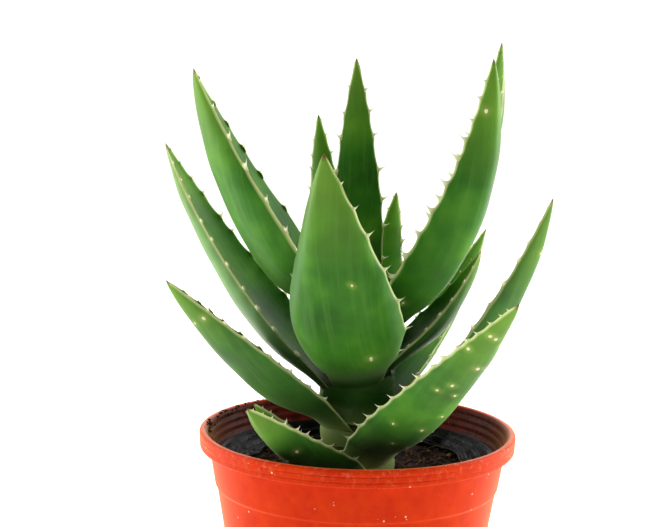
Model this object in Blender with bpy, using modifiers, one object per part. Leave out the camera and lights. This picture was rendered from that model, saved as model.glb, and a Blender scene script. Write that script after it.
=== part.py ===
"""A potted aloe: a terracotta-coloured nursery pot, a black inner pot, potting soil, a short stem
and a rosette of thick pointed leaves. Metres, +Z up, origin under the middle of the pot."""
import math

import bmesh
import bpy
from mathutils import Matrix, Vector
from mathutils.bvhtree import BVHTree

for stale in list(bpy.data.objects):
    bpy.data.objects.remove(stale, do_unlink=True)

# ---------------------------------------------------------------- sizes, in metres and degrees
RIM_DIAMETER = 0.130
POT_HEIGHT = 0.115
POT_TAPER = 9.3
WALL = 0.0018
LIP_HEIGHT = 0.0072
LIP_OVERHANG = 0.0042
LIP_ROUND = 0.0012
MOUTH_INSET = 0.0036
RIDGE_STEP = 0.0009
RIDGE_SPACING = 0.0030
RIDGE_COUNT = 3
BAND_DEPTH = 0.0225
BAND_STEP = 0.0008
FLOOR = 0.0040
FOOT_RECESS = 0.0020
FOOT_WIDTH = 0.0050
BOSS_RADIUS = 0.0120
DRAIN_RADIUS = 0.0040
DRAIN_COUNT = 6
DRAIN_SIDES = 20

FIT_GAP = 0.0003
LINER_WALL = 0.0008
LINER_DEPTH = 0.0105
LINER_BEAD = 0.0007

SOIL_DEPTH = 0.0170
SOIL_DISH = 0.0060

STEM_RADIUS = 0.0135
STEM_TOP_RADIUS = 0.0065
STEM_ROOT = 0.0180
STEM_CROWN = 0.0030
STEM_CHAMFER = 0.0012
CROWN_FLAT = 0.6
CROWN_DROP = 0.2

SHEATH_ANGLE = 55.0
SHEATH_REACH = 0.0120
SHEATH_THICKNESS = 0.0018
SHEATH_WRAP = 68.0
LEAF_GAP = 0.0007
FIRST_LEAF = 0.0015
BLADE_START = 0.0180
WIDENING = 0.0300
BLADE_CURL = 32.0
BLADE_THICKNESS = 0.22
THICKENING = 0.0220
WIDTH_FADE = 1.5
WIDTH_TAPER = 0.85
THICKNESS_FADE = 2.2
THICKNESS_TAPER = 0.8
SECTION_FULLNESS = 0.7

MERGE_DISTANCE = 0.00005
LEAF_CREASE = 50.0
TURN_STEPS = 64
ALONG_STEPS = 64
RINGS = (0, 2, 4, 7, 10, 14, 19, 24, 29, 34, 39, 44, 49, 54, 58, 61, 63)
INNER_ACROSS = (-1.0, -0.66, -0.33, 0.0, 0.33, 0.66, 1.0)
OUTER_ACROSS = (0.8, 0.55, 0.28, 0.0, -0.28, -0.55, -0.8)
ACROSS_STEP = 0.05

# Each leaf from the soil up: turn about the stem, length in mm, width in mm, rise of the blade where
# it leaves the sheath, rise at the tip, sideways bend and twist along the blade (degrees).
LEAVES = (
    (236, 78, 34, 24, 38, 4, 10),
    (199, 44, 28, 32, 46, 6, 10),
    (302, 145, 40, 38, 33, -16, 18),
    (95, 86, 34, 30, 52, 0, 0),
    (352, 122, 37, 40, 74, 6, -20),
    (200, 95, 48, 38, 44, 0, -2),
    (46, 99, 26, 32, 58, 0, 0),
    (108, 96, 25, 26, 54, 0, 0),
    (162, 126, 41, 40, 66, 15, -13),
    (260, 118, 64, 44, 75, -6, -27),
    (10, 66, 31, 33, 66, 0, 0),
    (74, 80, 25, 38, 72, 0, 0),
    (114, 104, 28, 56, 80, 0, 0),
    (32, 140, 34, 39, 89, 0, 10),
    (328, 128, 40, 39, 93, 0, -24),
    (178, 120, 62, 48, 70, 12, -6),
    (97, 106, 28, 77, 82, 0, 4),
    (240, 26, 14, 74, 84, 0, 0),
)

# ---------------------------------------------------------------- sizes that follow from those
RIM_RADIUS = RIM_DIAMETER / 2
TAPER = math.tan(math.radians(POT_TAPER))
BODY_TOP = RIM_RADIUS - LIP_OVERHANG
MOUTH_RADIUS = RIM_RADIUS - MOUTH_INSET
LEAF_SPACING = (SHEATH_THICKNESS + LEAF_GAP) / math.cos(math.radians(SHEATH_ANGLE))
SOIL_TOP = POT_HEIGHT - SOIL_DEPTH
CROWN_SOIL = SOIL_TOP - SOIL_DISH
STEM_HEIGHT = FIRST_LEAF + LEAF_SPACING * (len(LEAVES) - 1) + STEM_CROWN
SECTION = [(across, False) for across in INNER_ACROSS] + [(across, True) for across in OUTER_ACROSS]


def body_radius(height):
    """Outer radius of the tapered wall above the band, at a height over the foot."""
    return BODY_TOP - (POT_HEIGHT - LIP_HEIGHT - height) * TAPER


def bore_radius(height):
    """Inner radius of the pot's wall below the band."""
    return body_radius(height) - BAND_STEP - WALL


def stem_radius(rise):
    """Radius of the stem at a height over the soil beside it."""
    share = min(max(rise / STEM_HEIGHT, 0.0), 1.0)
    return STEM_RADIUS + (STEM_TOP_RADIUS - STEM_RADIUS) * share


# ---------------------------------------------------------------- scene helpers
plant = bpy.data.collections.new("potted_aloe")
cutters = bpy.data.collections.new("cutters")
for group in (plant, cutters):
    bpy.context.scene.collection.children.link(group)


def material(name, colour, roughness):
    made = bpy.data.materials.new(name)
    made.use_nodes = True
    shader = made.node_tree.nodes["Principled BSDF"]
    shader.inputs["Base Color"].default_value = (*colour, 1.0)
    shader.inputs["Roughness"].default_value = roughness
    return made


def mesh_object(name, mesh, group, finish=None):
    made = bpy.data.objects.new(name, mesh)
    group.objects.link(made)
    if finish:
        mesh.materials.append(finish)
    return made


def turned(name, profile, finish):
    """A profile of (radius, height) points, spun once about Z."""
    mesh = bpy.data.meshes.new(name)
    points = [(radius, 0.0, height) for radius, height in profile]
    edges = [(i, i + 1) for i in range(len(points) - 1)]
    mesh.from_pydata(points, edges, [])
    made = mesh_object(name, mesh, plant, finish)
    screw = made.modifiers.new("turn", "SCREW")
    screw.steps = TURN_STEPS
    screw.render_steps = TURN_STEPS
    screw.use_merge_vertices = True
    screw.merge_threshold = MERGE_DISTANCE
    screw.use_smooth_shade = True
    return made


def drill(target, cutter):
    cut = target.modifiers.new("drain_hole", "BOOLEAN")
    cut.operation = "DIFFERENCE"
    cut.solver = "EXACT"
    cut.object = cutter


# ---------------------------------------------------------------- pot
def pot_profile():
    """Down the outside, under the foot, and up the inside with its stepped ridges."""
    lip_foot = POT_HEIGHT - LIP_HEIGHT
    band = POT_HEIGHT - BAND_DEPTH
    foot_radius = body_radius(0.0) - BAND_STEP
    corner = LIP_ROUND * (1.0 - math.cos(math.pi / 4))
    outside = [
        (MOUTH_RADIUS + LIP_ROUND, POT_HEIGHT),
        (RIM_RADIUS - LIP_ROUND, POT_HEIGHT),
        (RIM_RADIUS - corner, POT_HEIGHT - corner),
        (RIM_RADIUS, POT_HEIGHT - LIP_ROUND),
        (RIM_RADIUS - corner, lip_foot + corner),
        (RIM_RADIUS - LIP_ROUND, lip_foot),
        (body_radius(lip_foot), lip_foot),
        (body_radius(band), band),
        (body_radius(band) - BAND_STEP, band - BAND_STEP),
        (foot_radius, 0.0),
    ]
    under = [
        (foot_radius - FOOT_WIDTH, 0.0),
        (foot_radius - FOOT_WIDTH, FOOT_RECESS),
        (BOSS_RADIUS, FOOT_RECESS),
        (BOSS_RADIUS, 0.0),
        (0.0, 0.0),
        (0.0, FLOOR),
        (bore_radius(FLOOR), FLOOR),
    ]
    inside = []
    for step in range(RIDGE_COUNT, 0, -1):
        ridge = POT_HEIGHT - LIP_ROUND - step * RIDGE_SPACING
        radius = MOUTH_RADIUS - step * RIDGE_STEP
        if not inside:
            wall_top = ridge - RIDGE_SPACING
            inside.append((bore_radius(wall_top), wall_top))
        inside.append((radius, ridge))
        inside.append((radius + RIDGE_STEP, ridge + RIDGE_STEP))
    inside.append((MOUTH_RADIUS, POT_HEIGHT - LIP_ROUND))
    inside.append((MOUTH_RADIUS + LIP_ROUND, POT_HEIGHT))
    return outside + under + inside


def drain_cutters():
    """Round cutters long enough to pass through the floors of the pot and of the inner pot."""
    made = []
    ring = (BOSS_RADIUS + bore_radius(FLOOR) - FOOT_WIDTH) / 2
    depth = FLOOR + FIT_GAP + LINER_WALL
    for index in range(DRAIN_COUNT):
        turn = math.tau * index / DRAIN_COUNT
        mesh = bpy.data.meshes.new(f"drain_cutter_{index + 1}")
        shape = bmesh.new()
        bmesh.ops.create_cone(
            shape,
            cap_ends=True,
            segments=DRAIN_SIDES,
            radius1=DRAIN_RADIUS,
            radius2=DRAIN_RADIUS,
            depth=3 * depth,
        )
        shape.to_mesh(mesh)
        shape.free()
        cutter = mesh_object(mesh.name, mesh, cutters)
        cutter.location = (ring * math.cos(turn), ring * math.sin(turn), depth / 2)
        cutter.hide_render = True
        cutter.display_type = "WIRE"
        made.append(cutter)
    return made


terracotta = material("pot_plastic", (0.72, 0.055, 0.018), 0.38)
pot = turned("pot", pot_profile(), terracotta)
holes = drain_cutters()
for hole in holes:
    drill(pot, hole)

# ---------------------------------------------------------------- black inner pot
LINER_BASE = FLOOR + FIT_GAP
LINER_TOP = POT_HEIGHT - LINER_DEPTH


def liner_radius(height):
    return bore_radius(height) - FIT_GAP


def liner_profile():
    """Down the outside from the top bead, across the base and up the inside."""
    neck = LINER_TOP - 3 * LINER_BEAD
    return [
        (liner_radius(LINER_TOP) - LINER_WALL, LINER_TOP),
        (liner_radius(LINER_TOP), LINER_TOP),
        (liner_radius(LINER_BASE), LINER_BASE),
        (0.0, LINER_BASE),
        (0.0, LINER_BASE + LINER_WALL),
        (liner_radius(LINER_BASE + LINER_WALL) - LINER_WALL, LINER_BASE + LINER_WALL),
        (liner_radius(neck) - LINER_WALL, neck),
        (liner_radius(neck) - LINER_WALL - LINER_BEAD, neck + LINER_BEAD),
        (liner_radius(LINER_TOP) - LINER_WALL - LINER_BEAD, LINER_TOP - LINER_BEAD),
        (liner_radius(LINER_TOP) - LINER_WALL, LINER_TOP),
    ]


black_film = material("liner_black_plastic", (0.012, 0.012, 0.013), 0.28)
liner = turned("inner_pot", liner_profile(), black_film)
for hole in holes:
    drill(liner, hole)

# ---------------------------------------------------------------- soil
SOIL_BASE = LINER_BASE + LINER_WALL + FIT_GAP
SOIL_SHOULDERS = (0.25, 0.55, 0.80)


def soil_radius(height):
    return liner_radius(height) - LINER_WALL - FIT_GAP


def soil_profile():
    """Down the side from the surface, across the base, up the pit that holds the stem's root end."""
    pit_radius = STEM_RADIUS + FIT_GAP
    pit_base = CROWN_SOIL - STEM_ROOT - FIT_GAP
    edge = soil_radius(SOIL_TOP)
    surface = []
    for share in SOIL_SHOULDERS:
        radius = pit_radius + (edge - pit_radius) * share
        height = CROWN_SOIL + SOIL_DISH * (1 - math.cos(math.pi * share)) / 2
        surface.append((radius, height))
    side = [(edge, SOIL_TOP), (soil_radius(SOIL_BASE), SOIL_BASE), (0.0, SOIL_BASE)]
    pit = [(0.0, pit_base), (pit_radius, pit_base), (pit_radius, CROWN_SOIL)]
    return side + pit + surface + [(edge, SOIL_TOP)]


peat = material("potting_soil", (0.045, 0.022, 0.012), 0.95)
soil = turned("potting_soil", soil_profile(), peat)

# ---------------------------------------------------------------- stem
stem_green = material("stem_skin", (0.20, 0.26, 0.09), 0.60)


def stem_profile():
    base = CROWN_SOIL - STEM_ROOT
    top = CROWN_SOIL + STEM_HEIGHT
    return [
        (0.0, top),
        (STEM_TOP_RADIUS * CROWN_FLAT, top - STEM_CROWN * CROWN_DROP),
        (STEM_TOP_RADIUS, top - STEM_CROWN),
        (STEM_RADIUS, CROWN_SOIL),
        (STEM_RADIUS, base + STEM_CHAMFER),
        (STEM_RADIUS - STEM_CHAMFER, base),
        (0.0, base),
    ]


stem = turned("stem", stem_profile(), stem_green)

# ---------------------------------------------------------------- leaves
leaf_green = material("leaf_skin", (0.075, 0.19, 0.022), 0.42)


def blend(start, end, share):
    return start + (end - start) * share


def leaf_spine(row, rise):
    """Points and frames along a leaf: place, run, side, curl direction, half width and half curl."""
    turn, length, width, low, tip, bend, twist = row
    length = length / 1000
    width = width / 1000
    start = (stem_radius(rise) + FIT_GAP) / math.cos(math.radians(SHEATH_WRAP) / (len(INNER_ACROSS) - 1))
    step = length / ALONG_STEPS
    place = Vector((start, 0.0, CROWN_SOIL + rise))
    place.rotate(Matrix.Rotation(math.radians(turn), 3, "Z"))
    rows = []
    for index in range(ALONG_STEPS + 1):
        share = index / ALONG_STEPS
        run_length = share * length
        clasp = math.exp(-((run_length / SHEATH_REACH) ** 2))
        opening = 1.0 - math.exp(-((run_length / BLADE_START) ** 2))
        lift = math.radians(blend(blend(low, tip, share), SHEATH_ANGLE, clasp))
        heading = math.radians(turn + bend * share)
        outward = Vector((math.cos(heading), math.sin(heading), 0.0))
        run = outward * math.cos(lift) + Vector((0.0, 0.0, math.sin(lift)))
        side = Vector((-outward.y, outward.x, 0.0))
        side.rotate(Matrix.Rotation(math.radians(twist * share), 3, run))
        face = run.cross(side)
        curl = blend(-outward, face, opening).normalized()
        blade = width / 2 * (1.0 - share**WIDTH_FADE) ** WIDTH_TAPER
        clasped = min(blade, start * math.radians(SHEATH_WRAP))
        widening = 1.0 - math.exp(-((run_length / WIDENING) ** 2))
        half = blend(clasped, blade, widening)
        cone = start + run_length * math.cos(math.radians(SHEATH_ANGLE))
        half_curl = blend(half / cone, math.radians(BLADE_CURL), opening)
        rows.append((place.copy(), side, curl, half, half_curl))
        place += run * step
    return rows


def inner_point(spine_row, across):
    """A point on the face towards the stem; across runs from -1 to 1 between the margins."""
    place, side, curl, half, half_curl = spine_row
    radius = half / half_curl
    angle = half_curl * across
    return place + side * (radius * math.sin(angle)) + curl * (radius * (1.0 - math.cos(angle)))


def thickness(row, share, across):
    length = row[1] / 1000
    full = BLADE_THICKNESS * row[2] / 1000
    swelling = 1.0 - math.exp(-((share * length / THICKENING) ** 2))
    middle = blend(SHEATH_THICKNESS, full, swelling) * (1.0 - share**THICKNESS_FADE) ** THICKNESS_TAPER
    return middle * (1.0 - across**2) ** SECTION_FULLNESS


def leaf_mesh(name, row, rise, grow=0.0):
    """The leaf as rings of points from its foot to its tip, grown outwards all round by grow."""
    spine = leaf_spine(row, rise)
    shape = bmesh.new()
    rings = []
    for index in RINGS:
        share = index / ALONG_STEPS
        before = spine[max(index - 1, 0)]
        after = spine[min(index + 1, ALONG_STEPS)]
        ring = []
        here = spine[index]
        for across, outer in SECTION:
            along = inner_point(after, across) - inner_point(before, across)
            over = inner_point(here, across + ACROSS_STEP) - inner_point(here, across - ACROSS_STEP)
            normal = along.cross(over).normalized()
            point = inner_point(here, across)
            if outer:
                point = point - normal * (thickness(row, share, across) + grow)
            elif abs(across) == 1.0:
                point = point + over.normalized() * (grow * across)
            else:
                point = point + normal * grow
            ring.append(shape.verts.new(point))
        rings.append(ring)
    count = len(rings[0])
    for lower, upper in zip(rings, rings[1:]):
        for i in range(count):
            j = (i + 1) % count
            shape.faces.new((lower[i], lower[j], upper[j], upper[i]))
    tip = shape.verts.new(spine[ALONG_STEPS][0])
    for i in range(count):
        shape.faces.new((rings[-1][i], rings[-1][(i + 1) % count], tip))
    shape.faces.new(list(reversed(rings[0])))
    bmesh.ops.recalc_face_normals(shape, faces=shape.faces)
    mesh = bpy.data.meshes.new(name)
    shape.to_mesh(mesh)
    shape.free()
    return mesh


def surface_tree(made):
    shape = bmesh.new()
    shape.from_mesh(made.data)
    tree = BVHTree.FromBMesh(shape, epsilon=0.0)
    shape.free()
    return tree


def largest_piece(mesh):
    """Removes the offcuts that a cut leaves beside the leaf itself."""
    shape = bmesh.new()
    shape.from_mesh(mesh)
    waiting = set(shape.verts)
    pieces = []
    while waiting:
        piece = set()
        edge_of_piece = {waiting.pop()}
        while edge_of_piece:
            vert = edge_of_piece.pop()
            piece.add(vert)
            edge_of_piece |= {edge.other_vert(vert) for edge in vert.link_edges} - piece
        waiting -= piece
        pieces.append(piece)
    pieces.sort(key=len)
    offcuts = [vert for piece in pieces[:-1] for vert in piece]
    bmesh.ops.delete(shape, geom=offcuts, context="VERTS")
    shape.to_mesh(mesh)
    shape.free()


def press_together(lower, upper_name, upper_row, upper_rise):
    """Hollows the lower leaf where the younger leaf above it would press into it."""
    pressed = leaf_mesh(f"{upper_name}_on_{lower.name}", upper_row, upper_rise, FIT_GAP)
    cutter = mesh_object(pressed.name, pressed, cutters)
    cutter.hide_render = True
    cutter.display_type = "WIRE"
    if not surface_tree(lower).overlap(surface_tree(cutter)):
        bpy.data.objects.remove(cutter, do_unlink=True)
        return
    cut = lower.modifiers.new("pressed_hollow", "BOOLEAN")
    cut.operation = "DIFFERENCE"
    cut.solver = "EXACT"
    cut.object = cutter
    seen = lower.evaluated_get(bpy.context.evaluated_depsgraph_get())
    hollowed = bpy.data.meshes.new_from_object(seen)
    lower.modifiers.clear()
    lower.data = hollowed
    largest_piece(hollowed)


leaves = []
for number, leaf_row in enumerate(LEAVES):
    leaf_rise = FIRST_LEAF + number * LEAF_SPACING
    leaf_name = f"leaf_{number + 1:02d}"
    leaf = mesh_object(leaf_name, leaf_mesh(leaf_name, leaf_row, leaf_rise), plant, leaf_green)
    for older in leaves:
        press_together(older, leaf_name, leaf_row, leaf_rise)
    leaves.append(leaf)
for leaf in leaves:
    leaf.data.shade_smooth()
    leaf.data.set_sharp_from_angle(angle=math.radians(LEAF_CREASE))
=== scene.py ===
# %% [markdown]
# # A potted aloe
# A young aloe stands in a terracotta-coloured nursery pot, with a thin black inner pot round its
# soil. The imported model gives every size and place. Each cell below takes one plain solid of that
# model, or one finish, and makes it look like the real thing, leaves first and soil last.

import math

import bmesh
import bpy
import numpy as np
from mathutils import Matrix, Vector, noise


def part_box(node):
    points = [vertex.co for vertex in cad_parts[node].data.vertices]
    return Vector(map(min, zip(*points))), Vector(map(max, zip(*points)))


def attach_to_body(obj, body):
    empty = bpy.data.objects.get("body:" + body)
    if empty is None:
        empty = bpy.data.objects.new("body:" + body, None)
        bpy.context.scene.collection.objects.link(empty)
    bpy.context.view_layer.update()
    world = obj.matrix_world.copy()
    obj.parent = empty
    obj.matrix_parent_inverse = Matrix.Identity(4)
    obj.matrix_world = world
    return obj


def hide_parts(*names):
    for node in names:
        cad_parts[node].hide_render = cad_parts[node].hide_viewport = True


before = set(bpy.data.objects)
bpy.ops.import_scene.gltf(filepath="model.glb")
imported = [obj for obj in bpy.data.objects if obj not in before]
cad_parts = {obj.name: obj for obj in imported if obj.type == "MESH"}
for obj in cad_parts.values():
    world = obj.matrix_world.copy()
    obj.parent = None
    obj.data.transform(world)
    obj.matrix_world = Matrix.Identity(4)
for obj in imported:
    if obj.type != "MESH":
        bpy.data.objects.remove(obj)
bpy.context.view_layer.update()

# %% [markdown]
# ## Camera
# The plant is looked at from a little above the rim, from about 0.7 m away, with a long lens. A
# long lens keeps the far leaves nearly as large as the near ones, as the eye sees a plant on a
# table. The pot's rim gives the height to measure from, so the view stays right if the pot grows.

# %% Camera at the viewing angle
RIM_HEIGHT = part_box("pot")[1].z
VIEW_DISTANCE = 0.700
VIEW_ELEVATION = math.radians(14.26)
VIEW_YAW = math.radians(-1.26)
VIEW_PITCH = math.radians(-8.71)
VIEW_ROLL = math.radians(-1.11)

camera = bpy.data.objects.new("camera", bpy.data.cameras.new("camera"))
bpy.context.scene.collection.objects.link(camera)
ahead = Vector(
    (
        math.sin(VIEW_YAW) * math.cos(VIEW_PITCH),
        math.cos(VIEW_YAW) * math.cos(VIEW_PITCH),
        math.sin(VIEW_PITCH),
    )
)
level = ahead.cross(Vector((0, 0, 1))).normalized()
above = level.cross(ahead)
right = level * math.cos(VIEW_ROLL) - above * math.sin(VIEW_ROLL)
up = level * math.sin(VIEW_ROLL) + above * math.cos(VIEW_ROLL)
camera.matrix_world = Matrix(
    [
        (right.x, up.x, -ahead.x, 0.0),
        (right.y, up.y, -ahead.y, -VIEW_DISTANCE * math.cos(VIEW_ELEVATION)),
        (right.z, up.z, -ahead.z, RIM_HEIGHT + VIEW_DISTANCE * math.sin(VIEW_ELEVATION)),
        (0.0, 0.0, 0.0, 1.0),
    ]
)
camera.data.sensor_width = 36.0
camera.data.lens = 93.6
camera.data.clip_start = 0.01
bpy.context.scene.camera = camera
bpy.context.scene.view_settings.view_transform = "Standard"
print("camera at", [round(value, 3) for value in camera.location])

# %% [markdown]
# ## Colours and nodes
# Paint charts and screens give a colour as sRGB hex, but a shader counts light, which is linear.
# One function turns hex to linear. A second one adds a shader node with its settings, its input
# values and its links, so a material reads from top to bottom like a recipe.


# %% Helpers for every material
def linear(code):
    """An sRGB hex colour as the linear RGBA that shaders use."""
    parts = [int(code[start : start + 2], 16) / 255 for start in (1, 3, 5)]
    dim = [part / 12.92 for part in parts]
    bright = [((part + 0.055) / 1.055) ** 2.4 for part in parts]
    return [low if part <= 0.04045 else high for part, low, high in zip(parts, dim, bright)] + [1.0]


def node(tree, kind, inputs=None, stops=None, **settings):
    """Adds one node with its properties, its inputs' values or links, and a ramp's colour stops."""
    made = tree.nodes.new(kind)
    for name, value in settings.items():
        setattr(made, name, value)
    for name, value in (inputs or {}).items():
        if isinstance(value, bpy.types.NodeSocket):
            tree.links.new(value, made.inputs[name])
        else:
            made.inputs[name].default_value = value
    if stops:
        ramp = made.color_ramp.elements
        ramp[0].position, ramp[1].position = stops[0][0], stops[-1][0]
        for place, _ in stops[1:-1]:
            ramp.new(place)
        for element, (_, colour) in zip(ramp, stops):
            element.color = colour
    return made


def new_material(name, **finish):
    """A material with one Principled shader, whose constant values go on its own sockets."""
    made = bpy.data.materials.new(name)
    made.use_nodes = True
    shader = made.node_tree.nodes["Principled BSDF"]
    for socket, value in finish.items():
        shader.inputs[socket.replace("_", " ")].default_value = value
    return made, made.node_tree, shader


def placed(name, mesh):
    """A new object in the scene that holds a mesh."""
    made = bpy.data.objects.new(name, mesh)
    bpy.context.scene.collection.objects.link(made)
    return made


print("linear terracotta:", [round(value, 3) for value in linear("#C8451F")])

# %% [markdown]
# ## Floor and light
# A product picture on white is lit like a tent: bright white cloth behind and at both sides of the
# plant, soft boxes that rim it with light, and a darker room on the camera's side. That gives
# glowing outer edges and deep green middles. One world does most of it: it shines white from
# behind, less from the front, and it is seen as plain white. The floor is white acrylic and glows
# a little, as a light table does.

# %% White room
FLOOR_SIZE = 12.0
FRONT_LIGHT = 0.20
SIDE_LIGHT = 0.85
BACK_LIGHT = 1.25
acrylic = bpy.data.materials.new("white_acrylic_table")
acrylic.use_nodes = True
table_top = acrylic.node_tree.nodes["Principled BSDF"]
table_top.inputs["Base Color"].default_value = linear("#F6F6F4")
table_top.inputs["Roughness"].default_value = 0.8
table_top.inputs["Emission Color"].default_value = linear("#FFFFFF")
table_top.inputs["Emission Strength"].default_value = 0.35

bpy.ops.mesh.primitive_plane_add(size=FLOOR_SIZE)
floor = bpy.context.object
floor.name = "floor"
floor.data.materials.append(acrylic)

world = bpy.data.worlds.new("white_room")
world.use_nodes = True
tree = world.node_tree
sky = tree.nodes["Background"]
sky.inputs["Color"].default_value = linear("#FFFFFF")
towards = node(tree, "ShaderNodeTexCoord").outputs["Generated"]
depth = node(tree, "ShaderNodeSeparateXYZ", {0: towards}).outputs[1]
behind = node(
    tree, "ShaderNodeMapRange", {"Value": depth, "To Min": SIDE_LIGHT, "To Max": BACK_LIGHT}
).outputs[0]
before = node(
    tree,
    "ShaderNodeMapRange",
    {"Value": depth, "From Min": -0.9, "From Max": -0.1, "To Min": FRONT_LIGHT - SIDE_LIGHT, "To Max": 0.0},
).outputs[0]
room = node(tree, "ShaderNodeMath", {0: behind, 1: before}, operation="ADD").outputs[0]
seen = node(tree, "ShaderNodeLightPath").outputs["Is Camera Ray"]
strength = node(tree, "ShaderNodeMath", {0: room, 1: seen}, operation="MAXIMUM").outputs[0]
tree.links.new(strength, sky.inputs["Strength"])
bpy.context.scene.world = world

# name: (place, size in metres, power in watts)
SOFT_BOXES = {
    "left_box": ((-1.0, 0.25, 0.40), 0.8, 9.0),
    "right_box": ((1.0, 0.35, 0.45), 0.8, 11.0),
    "back_box": ((0.1, 1.3, 0.80), 1.2, 8.0),
}
plant_middle = Vector((0.0, 0.0, 0.17))
for name, (place, size, power) in SOFT_BOXES.items():
    lamp = bpy.data.lights.new(name, "AREA")
    lamp.size = size
    lamp.energy = power
    box = bpy.data.objects.new(name, lamp)
    box.location = place
    box.rotation_mode = "QUATERNION"
    box.rotation_quaternion = (plant_middle - Vector(place)).to_track_quat("-Z", "Y")
    bpy.context.scene.collection.objects.link(box)
print(len(SOFT_BOXES), "soft boxes and a white world")

# %% [markdown]
# ## Standing in for the model
# Every finished piece rides on the model's one body and says which plain solids it stands for,
# which are then hidden.


# %% Attach a finished piece
def attach(piece, slot, *nodes):
    """Ties a piece to the body and hides the nodes that it stands for; slot is not used."""
    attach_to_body(piece, "root")
    if nodes:
        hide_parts(*nodes)
    return piece


# %% [markdown]
# ## Reading a leaf
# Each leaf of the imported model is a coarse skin: rings of points from its foot to its tip. The
# rings are read back by walking outwards from the tip. In each ring the two points farthest apart
# are the toothed margins. The shorter way round between them, with fewer points, is the hollow
# inner face, and the longer way is the rounded outer face.

# %% Rings of a leaf, from foot to tip
INNER_COUNT = 7
INNER_ACROSS = np.array((-1.0, -0.66, -0.33, 0.0, 0.33, 0.66, 1.0))


def in_order(ring):
    """The ring's points in order round it, along edges that also touch a side face."""
    members = set(ring)
    loop = [ring[0]]
    while len(loop) < len(ring):
        for edge in loop[-1].link_edges:
            other = edge.other_vert(loop[-1])
            side_face = any(vert not in members for face in edge.link_faces for vert in face.verts)
            if other in members and other not in loop and side_face:
                loop.append(other)
                break
    return loop


def read_leaf(name):
    """The inner face's and outer face's points, ring by ring from the foot, and the tip."""
    shape = bmesh.new()
    shape.from_mesh(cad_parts[name].data)
    bmesh.ops.remove_doubles(shape, verts=shape.verts, dist=1e-6)
    foot = Vector((0.0, 0.0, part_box(name)[0].z))
    tip = max(shape.verts, key=lambda vert: (vert.co - foot).length)
    rings = []
    seen = {tip}
    front = [tip]
    while front:
        around = {edge.other_vert(vert) for vert in front for edge in vert.link_edges} - seen
        seen |= around
        front = sorted(around, key=lambda vert: vert.index)
        if front:
            rings.append(np.array([vert.co for vert in in_order(front)]))
    rings.reverse()
    ahead_points = [ring.mean(0) for ring in rings[1:]] + [np.array(tip.co)]
    inner, outer = [], []
    for ring, next_middle in zip(rings, ahead_points):
        for turn in (ring, ring[::-1]):
            count = len(turn)
            far_side = np.roll(turn, 1 - INNER_COUNT, axis=0)
            span = np.linalg.norm(turn - far_side, axis=1)
            turn = np.roll(turn, -int(np.argmax(span)), axis=0)
            face, back = turn[:INNER_COUNT], turn[INNER_COUNT:]
            across = face[-1] - face[0]
            up_leaf = next_middle - ring.mean(0)
            if np.dot(back[3] - face[3], np.cross(up_leaf, across)) < 0:
                inner.append(face)
                outer.append(back)
                break
    point = np.array(tip.co)
    shape.free()
    return np.array(inner), np.array(outer), point


leaf_names = sorted(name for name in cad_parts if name.startswith("leaf_"))
print(len(leaf_names), "leaves, rings of", read_leaf(leaf_names[0])[0].shape[:2])

# %% [markdown]
# ## A smooth leaf
# A real aloe leaf is a thick wedge of clear gel in a waxed green skin, hollow above and rounded
# below. The coarse rings are joined by smooth curves along the leaf and across it, which keeps the
# leaf exactly where the model has it. A subdivision surface would be quicker, but it shrinks the
# leaf and rounds off the thin margins. The grid is close enough, about 1 mm, for small swellings.

# %% Smooth curves through the rings
GRID = 0.0011
INNER_STEPS = 22
OUTER_STEPS = 26
SECTION_FULLNESS = 0.62


def smooth_path(places, values, wanted):
    """Values at the wanted places on a smooth curve through the known ones."""
    slope = np.gradient(values, places, axis=0)
    index = np.clip(np.searchsorted(places, wanted) - 1, 0, len(places) - 2)
    shape = (-1,) + (1,) * (values.ndim - 1)
    span = (places[index + 1] - places[index]).reshape(shape)
    t = (wanted - places[index]).reshape(shape) / span
    return (
        (2 * t**3 - 3 * t**2 + 1) * values[index]
        + (t**3 - 2 * t**2 + t) * span * slope[index]
        + (3 * t**2 - 2 * t**3) * values[index + 1]
        + (t**3 - t**2) * span * slope[index + 1]
    )


def unit(vectors):
    return vectors / np.maximum(np.linalg.norm(vectors, axis=-1, keepdims=True), 1e-12)


def leaf_surface(name, keel):
    """Fine grids of the leaf's two faces, with each row's distance from the foot."""
    inner, outer, tip = read_leaf(name)
    depth = np.linalg.norm(inner[:, 3] - outer[:, 3], axis=1)
    inner = np.concatenate([inner, np.broadcast_to(tip, (1, INNER_COUNT, 3))])
    depth = np.append(depth, 0.0)
    run = np.append(0.0, np.cumsum(np.linalg.norm(np.diff(inner[:, 3], axis=0), axis=1)))
    rows = max(int(run[-1] / GRID), 40)
    wanted = np.linspace(0.0, run[-1], rows)
    lines = smooth_path(run, inner, wanted)
    depth = np.maximum(smooth_path(run, depth, wanted), 0.0)
    inner_u = np.sin(np.linspace(-math.pi / 2, math.pi / 2, INNER_STEPS + 1))
    outer_u = np.sin(np.linspace(math.pi / 2, -math.pi / 2, OUTER_STEPS + 1))[1:-1]
    faces = []
    for across in (inner_u, outer_u):
        order = np.argsort(across)
        grid = smooth_path(INNER_ACROSS, lines.transpose(1, 0, 2), across[order]).transpose(1, 0, 2)
        faces.append(grid[:, np.argsort(order)])
    top, under = faces
    along = np.gradient(under, axis=0)
    over = -np.gradient(under, axis=1)
    normal = unit(np.cross(along, over))
    ridge = np.exp(-(((outer_u - keel) / 0.35) ** 2)) - np.exp(-(((1 - abs(keel)) / 0.35) ** 2))
    round_back = (1 - outer_u**2) ** SECTION_FULLNESS
    section = 0.86 * round_back + 0.22 * ridge * round_back
    under = under - normal * (depth[:, None] * section)[..., None]
    return top, under, inner_u, outer_u, wanted


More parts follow.
